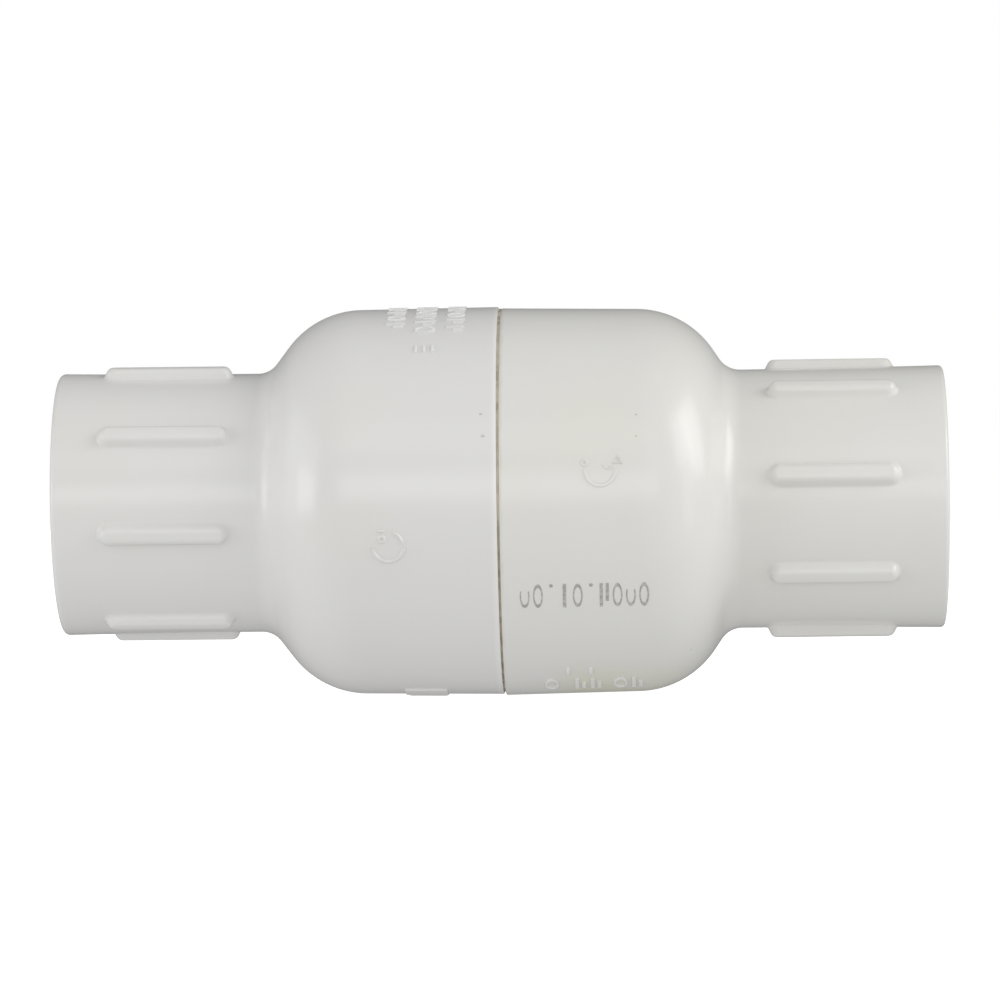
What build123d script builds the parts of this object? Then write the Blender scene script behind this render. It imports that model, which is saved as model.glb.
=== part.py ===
from build123d import *
import math
import os

# An in-line spring check valve of white PVC. The flow axis is X: water enters at -X and leaves
# at +X. The two body halves meet at the plane X = 0, on which the origin lies, and +Z is up.
# A place along a half is its distance from that plane, and sizes are in millimetres.

# ---- body halves, outside
HALF_LENGTH = 97.5
BARREL_R = 43.0
BARREL_DRAFT_DEG = 0.66
DOME_START = 30.4
DOME_R = 20.0
DOME_SLOPE_DEG = 50.0
NECK_R = 28.85
NECK_FILLET = 5.2
MOUTH_R = 29.05
RIM_FILLET = 1.5
SOCKET_CUT = 55.0

# ---- grip ribs on the end sockets
RIB_COUNT = 8
RIB_START = 58.8
RIB_LENGTH = 28.0
RIB_WIDTH = 4.6
RIB_CREST_R = 31.0
RIB_ROOT_R = 27.5
RIB_TAPER_DEG = 7.0
RIB_ROUND = 0.9
INLET_RIB_PHASE_DEG = -14.8
OUTLET_RIB_PHASE_DEG = 9.9

# ---- waterway and pipe threads
WALL = 5.2
BORE_R = 20.5
BORE_FILLET = 6.0
THREAD_LENGTH = 24.0
THREAD_PITCH = 25.4 / 11.5
THREAD_CREST_R = 22.2
THREAD_GROOVE_WIDTH = 1.55
THREAD_DEPTH = 1.2
THREAD_FLANK_DEG = 30.0
THREAD_LEAD_IN = 1.6
THREAD_RUN_OUT = 1.3

# ---- cemented joint between the halves
SOCKET_R = 40.7
SPIGOT_R = 40.5
SPIGOT_LENGTH = 9.0
LIP_CHAMFER = 0.2
GAP_BOTTOM = 0.3
GAP_TILT_DEG = 0.44
GAP_ROUND = 0.5
CEMENT_BEAD = 0.7

# ---- seat and poppet
SEAT_WALL = 40.0
SEAT_CREST = 37.0
SEAT_R = 23.0
SEAT_BEVEL = 0.8
SEAL_THICKNESS = 2.5
SEAL_R = 24.6
SEAL_BORE_R = 6.0
DISC_R = 25.0
DISC_THICKNESS = 4.0
DISC_RIB_COUNT = 6
DISC_RIB_WIDTH = 1.8
DISC_RIB_HEIGHT = 2.4
DISC_RIB_INNER_R = 11.0
DISC_RIB_OUTER_R = 23.0
BOSS_R = 7.5
BOSS_LENGTH = 8.5
STEM_R = 4.0
STEM_LENGTH = 42.0
RETAINER_R = 17.5
RETAINER_THICKNESS = 2.5
SCREW_HOLE_R = 2.7
SCREW_R = 2.5
SCREW_LENGTH = 15.0
SCREW_HEAD_R = 4.6
SCREW_HEAD_HEIGHT = 2.8
CROSS_WIDTH = 1.1
CROSS_LENGTH = 4.8
CROSS_DEPTH = 1.6
FLAT_WASHER_R = 7.0
FLAT_WASHER_THICKNESS = 1.0

# ---- guide cage
CAGE_RING_THICKNESS = 3.0
HUB_BORE_R = 4.1
HUB_NOSE_R = 7.6
HUB_NOSE_LENGTH = 4.0
HUB_R = 12.0
HUB_TAIL_R = 8.0
HUB_FACE = -4.0
HUB_TAIL = 14.0
LEG_COUNT = 4
LEG_WIDTH = 3.0
LEG_PHASE_DEG = 45.0

# ---- spring
WIRE_R = 0.5
COIL_R = 9.0
COIL_TURNS = 6.5
SPRING_WASHER_R = 11.8
SPRING_WASHER_THICKNESS = 0.8

# ---- moulded marks
MARK_HEIGHT = 0.35
GATE_R = 3.8
GATE_DEPTH = 0.35
GATE_STUB_R = 1.2
INLET_GATE = (-23.6, -13.2)
OUTLET_GATE = (21.9, 8.6)
ARROW_TAIL = -26.0
ARROW_TIP = -7.0
ARROW_HEAD_LENGTH = 8.0
ARROW_HEAD_WIDTH = 10.0
ARROW_SHAFT_WIDTH = 4.0

# ---- places along X that follow from the sizes above
SHOULDER = -SPIGOT_LENGTH - CAGE_RING_THICKNESS
CHAMBER_R = BARREL_R - WALL - 0.2
SEAL_FACE = -SEAT_CREST
DISC_FRONT = SEAL_FACE + SEAL_THICKNESS
DISC_BACK = DISC_FRONT + DISC_THICKNESS
BOSS_END = DISC_BACK + BOSS_LENGTH
STEM_END = BOSS_END + STEM_LENGTH
RETAINER_FRONT = SEAL_FACE - RETAINER_THICKNESS
FLAT_WASHER_FRONT = RETAINER_FRONT - FLAT_WASHER_THICKNESS
THREAD_START = HALF_LENGTH - THREAD_LENGTH


def along(side, *points):
    """Turn (distance from the joint, radius) pairs into sketch points on the given side."""
    return [(side * u, r) for u, r in points]


def turned(*edges):
    """Revolve a closed outline of edges about the flow axis."""
    return revolve(make_face(Wire(edges)), axis=Axis.X)


def turned_polygon(*points):
    """Revolve a closed polygon of (x, radius) points about the flow axis."""
    return revolve(make_face(Polyline(*points, close=True)), axis=Axis.X)


def outward(x, bearing, shape):
    """Stand a shape, made on +Z at X = 0, at x and at a bearing measured from -Y towards +Z."""
    return Rot(90 - bearing, 0, 0) * Pos(x, 0, 0) * shape


def dome(side, start_r, round_r, end_r, fillet_r):
    """Edges from the barrel's end, round the dome and down its slope, into a straight neck."""
    draft, slope = math.radians(BARREL_DRAFT_DEG), math.radians(DOME_SLOPE_DEG)
    centre_u = DOME_START - DOME_R * math.sin(draft)
    centre_r = start_r - round_r * math.cos(draft)

    def on_arc(angle):
        return centre_u + round_r * math.sin(angle), centre_r + round_r * math.cos(angle)

    top, middle, shoulder = on_arc(draft), on_arc((draft + slope) / 2), on_arc(slope)
    corner = shoulder[0] + (shoulder[1] - end_r) / math.tan(slope)
    reach = fillet_r * math.tan(slope / 2)
    foot = (corner - reach * math.cos(slope), end_r + reach * math.sin(slope))
    toe = (corner + reach, end_r)
    half = slope / 2
    belly = (toe[0] - fillet_r * math.sin(half), end_r + fillet_r * (1 - math.cos(half)))
    edges = [
        ThreePointArc(*along(side, top, middle, shoulder)),
        Line(*along(side, shoulder, foot)),
        ThreePointArc(*along(side, foot, belly, toe)),
    ]
    return top, toe, edges


def outer_half(side):
    """A solid half of the body: barrel, dome, neck and end socket, with a rounded rim."""
    dome_top_r = BARREL_R - DOME_START * math.tan(math.radians(BARREL_DRAFT_DEG))
    top, toe, edges = dome(side, dome_top_r, DOME_R, NECK_R, NECK_FILLET)
    rim = (HALF_LENGTH, MOUTH_R - RIM_FILLET)
    round_in = RIM_FILLET * (1 - math.sqrt(0.5))
    rim_middle = (HALF_LENGTH - round_in, MOUTH_R - round_in)
    rim_start = (HALF_LENGTH - RIM_FILLET, MOUTH_R)
    lip = [(0, 0), (0, BARREL_R - LIP_CHAMFER), (LIP_CHAMFER, BARREL_R), top]
    barrel = [Line(*along(side, a, b)) for a, b in zip(lip, lip[1:])]
    socket = [
        Line(*along(side, toe, rim_start)),
        ThreePointArc(*along(side, rim_start, rim_middle, rim)),
        Line(*along(side, rim, (HALF_LENGTH, 0))),
        Line(*along(side, (HALF_LENGTH, 0), (0, 0))),
    ]
    return turned(*barrel, *edges, *socket)


def mouth_points():
    """The bore from the pipe stop out through the threaded mouth, past the end face."""
    past = HALF_LENGTH + 1.0
    lead_r = THREAD_CREST_R + THREAD_LEAD_IN
    return [
        (THREAD_START, BORE_R),
        (THREAD_START, THREAD_CREST_R),
        (HALF_LENGTH - THREAD_LEAD_IN, THREAD_CREST_R),
        (HALF_LENGTH, lead_r),
        (past, lead_r),
        (past, 0),
    ]


def outlet_space():
    """What the outlet half leaves open: the chamber, its dome, the bore and the mouth."""
    back = -SPIGOT_LENGTH - 1.0
    top, toe, edges = dome(1, CHAMBER_R, DOME_R - WALL, BORE_R, BORE_FILLET)
    start = [Line((back, 0), (back, CHAMBER_R)), Line((back, CHAMBER_R), top)]
    end = [toe] + mouth_points() + [(back, 0)]
    return turned(*start, *edges, *[Line(a, b) for a, b in zip(end, end[1:])])


def inlet_space():
    """What the inlet half leaves open: the joint socket, chamber, raised seat, bore and mouth."""
    round_r = DOME_R - WALL
    centre_u, centre_r = DOME_START, CHAMBER_R - round_r
    stop = math.asin((SEAT_WALL - centre_u) / round_r)

    def on_arc(angle):
        return centre_u + round_r * math.sin(angle), centre_r + round_r * math.cos(angle)

    start = [(-1, 0), (-1, SOCKET_R), (-SHOULDER, SOCKET_R), (-SHOULDER, CHAMBER_R), on_arc(0)]
    lip = [
        on_arc(stop),
        (SEAT_WALL, SEAT_R),
        (SEAT_CREST + SEAT_BEVEL, SEAT_R),
        (SEAT_CREST, SEAT_R - SEAT_BEVEL),
        (SEAT_CREST, BORE_R + SEAT_BEVEL),
        (SEAT_CREST + SEAT_BEVEL, BORE_R),
    ]
    end = lip + mouth_points() + [(-1, 0)]
    lines = [Line(*along(-1, a, b)) for run in (start, end) for a, b in zip(run, run[1:])]
    arc = ThreePointArc(*along(-1, on_arc(0), on_arc(stop / 2), on_arc(stop)))
    return turned(*lines, arc)


def thread_groove(side):
    """The right-hand helical groove of a pipe thread, between the pipe stop and the lead-in."""
    flank = math.tan(math.radians(THREAD_FLANK_DEG))
    inside = 0.5
    root_half = THREAD_GROOVE_WIDTH / 2 - THREAD_DEPTH * flank
    mouth_half = THREAD_GROOVE_WIDTH / 2 + inside * flank
    crest, root = THREAD_CREST_R - inside, THREAD_CREST_R + THREAD_DEPTH
    outline = Polyline(
        (crest, -mouth_half), (root, -root_half), (root, root_half), (crest, mouth_half), close=True
    )
    length = THREAD_LENGTH - THREAD_LEAD_IN - 2 * THREAD_RUN_OUT
    path = Helix(THREAD_PITCH, length, THREAD_CREST_R)
    groove = sweep(make_face(Plane.XZ * outline), path=path, is_frenet=True)
    return Rot(0, side * 90, 0) * Pos(0, 0, THREAD_START + THREAD_RUN_OUT) * groove


def grip_ribs(side, phase):
    """Rounded ribs round an end socket that stop a wrench from slipping."""
    height = RIB_CREST_R - RIB_ROOT_R
    base = Pos(0, 0, RIB_ROOT_R) * SlotOverall(RIB_LENGTH, RIB_WIDTH)
    rib = extrude(base, amount=height, taper=RIB_TAPER_DEG)
    rib = fillet(rib.faces().sort_by(Axis.Z)[-1].edges(), radius=RIB_ROUND)
    centre = side * (RIB_START + RIB_LENGTH / 2)
    return [outward(centre, phase + k * 360 / RIB_COUNT, rib) for k in range(RIB_COUNT)]


def bar(length, width):
    """A small raised bar of a moulded mark, on +Z."""
    root = BARREL_R - 1.5
    return Pos(0, 0, (root + BARREL_R + MARK_HEIGHT) / 2) * Box(length, width, 1.5 + MARK_HEIGHT)


def inlet_marks():
    """Three columns of raised size bars over the top of the inlet half."""
    columns = ((-23.7, 4.2, 9.5), (-17.2, 4.6, 8.0), (-10.9, 4.0, 7.0))
    marks = []
    for x, length, pitch in columns:
        for step in range(7):
            short = 0.55 if step % 3 == 1 else 1.0
            marks.append(outward(x, 58 + step * pitch, bar(length * short, 2.2)))
    return marks


def outlet_marks():
    """Two rows of raised batch bars low on the outlet half."""
    marks = []
    for bearing, count, width in ((-62.0, 6, 2.4), (-73.0, 7, 2.0)):
        for step in range(count):
            marks.append(outward(9.0 + step * 2.4, bearing, bar(1.3, width)))
    return marks


def flow_arrow():
    """A raised arrow under the inlet half that points downstream."""
    neck = ARROW_TIP - ARROW_HEAD_LENGTH
    half, wide = ARROW_SHAFT_WIDTH / 2, ARROW_HEAD_WIDTH / 2
    upper = [(ARROW_TAIL, half), (neck, half), (neck, wide), (ARROW_TIP, 0)]
    lower = [(x, -y) for x, y in reversed(upper[:-1])]
    prism = extrude(Pos(0, 0, BARREL_R - 3) * make_face(Polyline(*upper, *lower, close=True)), 6)
    skin = Rot(0, 90, 0) * Cylinder(BARREL_R + MARK_HEIGHT, 2 * HALF_LENGTH)
    return outward(0, -90, prism) & skin


def gate_mark(body, place):
    """Sink a round, flat gate mark with a small stub into a body half."""
    x, bearing = place
    floor = BARREL_R - abs(x) * math.tan(math.radians(BARREL_DRAFT_DEG)) - GATE_DEPTH
    recess = Pos(0, 0, floor + 2) * Cylinder(GATE_R, 4)
    stub = Pos(0, 0, floor - 1 + GATE_DEPTH / 3) * Cylinder(GATE_STUB_R, 2)
    return body - outward(x, bearing, recess) + outward(x, bearing, stub)


def inlet_body():
    body = outer_half(-1) - inlet_space() - thread_groove(-1)
    body = body.fuse(*grip_ribs(-1, INLET_RIB_PHASE_DEG), *inlet_marks(), flow_arrow())
    return gate_mark(body, INLET_GATE)


def outlet_body():
    body = outer_half(1) - joint_gap()
    rim = [e for e in body.edges() if e.center().X < 2 and e.bounding_box().size.Z > 2 * SOCKET_R]
    body = fillet(rim, radius=GAP_ROUND)
    length = SPIGOT_LENGTH + 2
    spigot = Pos(2 - length / 2, 0, 0) * Rot(0, 90, 0) * Cylinder(SPIGOT_R, length)
    body = body.fuse(spigot) - outlet_space() - thread_groove(1)
    body = body.fuse(*grip_ribs(1, OUTLET_RIB_PHASE_DEG), *outlet_marks())
    return gate_mark(body, OUTLET_GATE)


def joint_gap():
    """The space in front of the outlet half's shoulder, which was cemented slightly askew."""
    depth, width = 20.0, 3 * BARREL_R
    face = GAP_BOTTOM + BARREL_R * math.tan(math.radians(GAP_TILT_DEG))
    block = Pos(-depth / 2, 0, 0) * Box(depth, width, width)
    return Pos(face, 0, 0) * Rot(0, GAP_TILT_DEG, 0) * block


def joint_cement(outlet):
    """The cement film between spigot and socket, and the bead squeezed out into the gap."""
    film = turned_polygon(
        (-SPIGOT_LENGTH, SPIGOT_R), (0, SPIGOT_R), (0, SOCKET_R), (-SPIGOT_LENGTH, SOCKET_R)
    )
    crest_r = SPIGOT_R + CEMENT_BEAD
    bead = turned_polygon((0, SPIGOT_R), (3, SPIGOT_R), (3, crest_r), (0, crest_r))
    return film + (bead & joint_gap()) - outlet


def guide_cage():
    """The ring clamped in the joint, its legs, and the hub that guides the poppet's stem."""
    ring = turned_polygon(
        (SHOULDER, CHAMBER_R),
        (-SPIGOT_LENGTH, CHAMBER_R),
        (-SPIGOT_LENGTH, SPIGOT_R),
        (SHOULDER, SPIGOT_R),
    )
    hub = turned_polygon(
        (HUB_FACE - HUB_NOSE_LENGTH, HUB_BORE_R),
        (HUB_FACE - HUB_NOSE_LENGTH, HUB_NOSE_R),
        (HUB_FACE, HUB_NOSE_R),
        (HUB_FACE, HUB_R),
        (HUB_FACE + 4, HUB_R),
        (HUB_TAIL, HUB_TAIL_R),
        (HUB_TAIL, HUB_BORE_R),
    )
    outline = Polyline(
        (SHOULDER, CHAMBER_R + 1),
        (-SPIGOT_LENGTH, CHAMBER_R + 1),
        (-SPIGOT_LENGTH, CHAMBER_R - 0.6),
        (HUB_TAIL - 5, HUB_R),
        (HUB_TAIL - 2, HUB_BORE_R + 1),
        (HUB_FACE + 0.5, HUB_BORE_R + 1),
        (HUB_FACE + 0.5, HUB_R + 1),
        (SHOULDER, CHAMBER_R - 6),
        close=True,
    )
    leg = extrude(Plane.XZ * make_face(outline), LEG_WIDTH / 2, both=True)
    legs = [Rot(LEG_PHASE_DEG + k * 360 / LEG_COUNT, 0, 0) * leg for k in range(LEG_COUNT)]
    return ring.fuse(hub, *legs)


def poppet():
    """The moving disc with its seal boss, spring boss, back ribs and guide stem."""
    body = turned_polygon(
        (SEAL_FACE, 0),
        (SEAL_FACE, SEAL_BORE_R),
        (DISC_FRONT, SEAL_BORE_R),
        (DISC_FRONT, DISC_R - 0.5),
        (DISC_FRONT + 0.5, DISC_R),
        (DISC_BACK - 1, DISC_R),
        (DISC_BACK, DISC_R - 1),
        (DISC_BACK, BOSS_R),
        (BOSS_END - 0.5, BOSS_R),
        (BOSS_END, BOSS_R - 0.5),
        (BOSS_END, STEM_R),
        (STEM_END - 1.5, STEM_R),
        (STEM_END, STEM_R - 1.5),
        (STEM_END, 0),
    )
    length = DISC_RIB_OUTER_R - DISC_RIB_INNER_R
    height = DISC_RIB_HEIGHT + 1
    place = Pos(DISC_BACK - 1 + height / 2, 0, DISC_RIB_INNER_R + length / 2)
    rib = place * Box(height, DISC_RIB_WIDTH, length)
    ribs = [Rot(k * 360 / DISC_RIB_COUNT, 0, 0) * rib for k in range(DISC_RIB_COUNT)]
    hole_end = FLAT_WASHER_FRONT + SCREW_LENGTH
    start = SEAL_FACE - 1
    hole = turned_polygon((start, 0), (start, SCREW_R), (hole_end, SCREW_R), (hole_end, 0))
    return body.fuse(*ribs) - hole


def ring(front, back, inner_r, outer_r):
    """A flat ring between two places along X."""
    return turned_polygon((front, inner_r), (back, inner_r), (back, outer_r), (front, outer_r))


def poppet_seal():
    return ring(SEAL_FACE, DISC_FRONT, SEAL_BORE_R, SEAL_R)


def seal_retainer():
    """The dished plate, inside the bore, that clamps the seal to the poppet."""
    return turned_polygon(
        (SEAL_FACE, SCREW_HOLE_R),
        (SEAL_FACE, RETAINER_R),
        (SEAL_FACE - 0.8, RETAINER_R),
        (RETAINER_FRONT, RETAINER_R - 3),
        (RETAINER_FRONT, SCREW_HOLE_R),
    )


def retainer_washer():
    return ring(FLAT_WASHER_FRONT, RETAINER_FRONT, SCREW_HOLE_R, FLAT_WASHER_R)


def retainer_screw():
    """The pan-head screw with a cross recess that holds the retainer, tapped into the boss."""
    top = FLAT_WASHER_FRONT - SCREW_HEAD_HEIGHT
    tip = FLAT_WASHER_FRONT + SCREW_LENGTH
    edges = [
        Line((top, 0), (top, SCREW_HEAD_R * 0.55)),
        ThreePointArc(
            (top, SCREW_HEAD_R * 0.55),
            (top + SCREW_HEAD_HEIGHT * 0.28, SCREW_HEAD_R * 0.87),
            (FLAT_WASHER_FRONT - 0.6, SCREW_HEAD_R),
        ),
        Line((FLAT_WASHER_FRONT - 0.6, SCREW_HEAD_R), (FLAT_WASHER_FRONT, SCREW_HEAD_R)),
        Line((FLAT_WASHER_FRONT, SCREW_HEAD_R), (FLAT_WASHER_FRONT, SCREW_R)),
        Line((FLAT_WASHER_FRONT, SCREW_R), (tip - 1, SCREW_R)),
        Line((tip - 1, SCREW_R), (tip, SCREW_R - 1)),
        Line((tip, SCREW_R - 1), (tip, 0)),
        Line((tip, 0), (top, 0)),
    ]
    slot = Pos(top + CROSS_DEPTH / 2 - 1, 0, 0) * Box(CROSS_DEPTH + 2, CROSS_WIDTH, CROSS_LENGTH)
    return turned(*edges) - slot - Rot(90, 0, 0) * slot


def spring_washer():
    """The thin steel seat that keeps the spring's end from biting into the hub."""
    return ring(HUB_FACE - SPRING_WASHER_THICKNESS, HUB_FACE, HUB_NOSE_R + 0.2, SPRING_WASHER_R)


def spring():
    """The closing spring at its fitted length."""
    front, back = DISC_BACK + WIRE_R, HUB_FACE - SPRING_WASHER_THICKNESS - WIRE_R
    path = Helix((back - front) / COIL_TURNS, back - front, COIL_R)
    wire = sweep(Plane(path @ 0, z_dir=path % 0) * Circle(WIRE_R), path=path, is_frenet=True)
    return Pos(front, 0, 0) * Rot(0, 90, 0) * wire


def cut_socket(body, side):
    """Cut a half across its neck into its barrel with the dome, and its end socket."""
    length = HALF_LENGTH + 1 - SOCKET_CUT
    end = Pos(side * (SOCKET_CUT + length / 2), 0, 0) * Box(length, 3 * BARREL_R, 3 * BARREL_R)
    return body - end, body & end


def main():
    inlet, inlet_socket = cut_socket(inlet_body(), -1)
    outlet, outlet_socket = cut_socket(outlet_body(), 1)
    nodes = {
        "inlet_body": inlet,
        "inlet_socket": inlet_socket,
        "outlet_body": outlet,
        "outlet_socket": outlet_socket,
        "joint_cement": joint_cement(outlet),
        "guide_cage": guide_cage(),
        "spring_washer": spring_washer(),
        "spring": spring(),
        "poppet": poppet(),
        "poppet_seal": poppet_seal(),
        "seal_retainer": seal_retainer(),
        "retainer_washer": retainer_washer(),
        "retainer_screw": retainer_screw(),
    }
    os.makedirs("parts", exist_ok=True)
    for name, shape in nodes.items():
        export_step(shape, f"parts/{name}.step")
        box = shape.bounding_box()
        print(name, "solids", len(shape.solids()), "volume", round(shape.volume, 1), box.min, box.max)


main()
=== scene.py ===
import logging
import math
from contextlib import contextmanager
from dataclasses import dataclass
from enum import Enum
from typing import Iterator, Sequence

import bmesh
import bpy
from mathutils import Matrix, Vector


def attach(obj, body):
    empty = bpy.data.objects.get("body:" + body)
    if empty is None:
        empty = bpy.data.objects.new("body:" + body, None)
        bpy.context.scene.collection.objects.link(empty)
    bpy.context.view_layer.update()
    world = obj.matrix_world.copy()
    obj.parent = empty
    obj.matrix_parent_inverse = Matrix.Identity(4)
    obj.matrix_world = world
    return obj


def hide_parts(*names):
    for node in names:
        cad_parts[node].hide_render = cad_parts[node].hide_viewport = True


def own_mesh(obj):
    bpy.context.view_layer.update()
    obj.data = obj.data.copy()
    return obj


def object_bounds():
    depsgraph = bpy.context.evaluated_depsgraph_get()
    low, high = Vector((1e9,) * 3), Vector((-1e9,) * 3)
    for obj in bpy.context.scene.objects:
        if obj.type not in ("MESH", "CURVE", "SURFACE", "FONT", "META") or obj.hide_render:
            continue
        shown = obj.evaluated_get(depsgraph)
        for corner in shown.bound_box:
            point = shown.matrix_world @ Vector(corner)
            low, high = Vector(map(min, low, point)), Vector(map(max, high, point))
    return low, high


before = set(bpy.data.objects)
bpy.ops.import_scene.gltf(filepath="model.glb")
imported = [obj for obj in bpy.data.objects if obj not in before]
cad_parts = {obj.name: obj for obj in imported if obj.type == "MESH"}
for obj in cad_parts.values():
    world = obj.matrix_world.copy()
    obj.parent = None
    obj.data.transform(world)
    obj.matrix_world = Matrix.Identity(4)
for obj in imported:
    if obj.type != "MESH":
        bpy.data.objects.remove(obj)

MM = 0.001
HALF_LENGTH = 97.5  # from the joint to a mouth, in millimetres
LOG = logging.getLogger("check_valve")
CAD_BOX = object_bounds()

Point = tuple[float, float]
Colour = tuple[float, float, float]


class Side(Enum):
    """The end of the valve that a body half belongs to, as its sign along the flow axis."""

    INLET = -1
    OUTLET = 1


@dataclass(frozen=True)
class Skin:
    """The outside of a barrel, and how it sits after the halves were glued.

    Attributes:
        radius: its radius at the joint, in millimetres.
        draft_deg: how much it narrows towards the mouth.
        lean_deg: how far its lip and its mouth lean back at the top.
        sag: how far it sits low at the joint, in millimetres.
    """

    radius: float
    draft_deg: float
    lean_deg: float = 0.0
    sag: float = 0.0

    def at(self, x: float) -> float:
        """The radius at a place along the flow axis, in millimetres."""
        return self.radius - abs(x) * math.tan(math.radians(self.draft_deg))

    def settle(self, co: Vector, share: float = 1.0) -> Vector:
        """Lean and lower a point.

        Args:
            co: the point, in metres.
            share: how much of the move it makes.

        Returns:
            The moved point.
        """
        back = co.z * math.tan(math.radians(self.lean_deg)) * share
        low = self.sag * MM * max(0.0, 1 - abs(co.x) / (HALF_LENGTH * MM)) * share
        return Vector((co.x - back, co.y, co.z - low))


SKINS = {
    Side.INLET: Skin(42.81, 0.66, lean_deg=0.35),
    Side.OUTLET: Skin(42.78, 0.98, sag=0.28),
}


class Body(Enum):
    """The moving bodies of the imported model."""

    VALVE = "valve_body"
    POPPET = "poppet_carrier"


# ---------------------------------------------------------------------------------- shader graphs


class Graph:
    """A shader's node tree, with short ways to add and join its nodes."""

    def __init__(self, tree: bpy.types.NodeTree) -> None:
        """Empty the node tree of a material or of the world, and keep it."""
        tree.nodes.clear()
        self.tree = tree

    def add(self, kind: str, inputs: dict | None = None, **settings: object) -> bpy.types.Node:
        """Add a node.

        Args:
            kind: the node's type name without its ShaderNode prefix.
            inputs: socket name or number to a constant or to the socket that feeds it.
            settings: the node's own properties.

        Returns:
            The new node.
        """
        node = self.tree.nodes.new("ShaderNode" + kind)
        for name, value in settings.items():
            setattr(node, name, value)
        for key, value in (inputs or {}).items():
            if isinstance(value, bpy.types.NodeSocket):
                self.tree.links.new(value, node.inputs[key])
            else:
                node.inputs[key].default_value = value
        return node

    def math(self, operation: str, *values: object) -> bpy.types.NodeSocket:
        """Join constants or sockets with one arithmetic step, and give the result's socket."""
        return self.add("Math", dict(enumerate(values)), operation=operation).outputs[0]

    def place(self) -> bpy.types.NodeSocket:
        """The point on the object, in metres."""
        return self.add("TexCoord").outputs["Object"]

    def noise(
        self, scale: float, detail: float = 2.0, stretch: Colour = (1, 1, 1)
    ) -> bpy.types.NodeSocket:
        """Smooth random patches.

        Args:
            scale: patches to the metre.
            detail: how many finer layers are added.
            stretch: how often the pattern repeats along X, Y and Z, against the others.

        Returns:
            The socket of a number between 0 and 1.
        """
        mapped = self.add("Mapping", {"Vector": self.place(), "Scale": stretch})
        inputs = {"Vector": mapped.outputs[0], "Scale": scale, "Detail": detail}
        return self.add("TexNoise", inputs).outputs["Fac"]

    def step(self, value: object, low: float, high: float) -> bpy.types.NodeSocket:
        """A smooth rise from 0 to 1.

        Args:
            value: the number that is looked at.
            low: where the rise starts.
            high: where it ends; below low for a fall.

        Returns:
            The socket of a number between 0 and 1.
        """
        inputs = {"Value": value, "From Min": low, "From Max": high}
        node = self.add("MapRange", inputs, interpolation_type="SMOOTHSTEP", clamp=True)
        return node.outputs[0]

    def blend(self, share: object, first: object, second: object) -> bpy.types.NodeSocket:
        """Mix two colours.

        Args:
            share: how much of the second colour shows.
            first: a colour or its socket.
            second: a colour or its socket.

        Returns:
            The mixed colour's socket.
        """
        node = self.add("Mix", data_type="RGBA")
        for index, value in ((0, share), (6, first), (7, second)):
            if isinstance(value, bpy.types.NodeSocket):
                self.tree.links.new(value, node.inputs[index])
            elif index == 0:
                node.inputs[index].default_value = value
            else:
                node.inputs[index].default_value = (*value, 1.0)
        return node.outputs[2]

    def bump(self, height: object, depth: float, over: object = None) -> bpy.types.NodeSocket:
        """Turn a height between 0 and 1 into a disturbed normal.

        Args:
            height: the height's socket.
            depth: what a height of 1 is worth, in metres.
            over: a normal from a coarser layer, or none.

        Returns:
            The normal's socket.
        """
        inputs = {"Height": height, "Strength": 1.0, "Distance": depth}
        if over is not None:
            inputs["Normal"] = over
        return self.add("Bump", inputs).outputs[0]


def new_graph(name: str) -> tuple[bpy.types.Material, Graph]:
    """Make an empty material.

    Args:
        name: the material's name.

    Returns:
        The material and its graph.
    """
    material = bpy.data.materials.new(name)
    material.use_nodes = True
    return material, Graph(material.node_tree)


def close_graph(graph: Graph, inputs: dict) -> None:
    """End a material's graph in a Principled shader, with inputs as Graph.add takes them."""
    shader = graph.add("BsdfPrincipled", inputs)
    graph.add("OutputMaterial", {"Surface": shader.outputs[0]})


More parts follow.
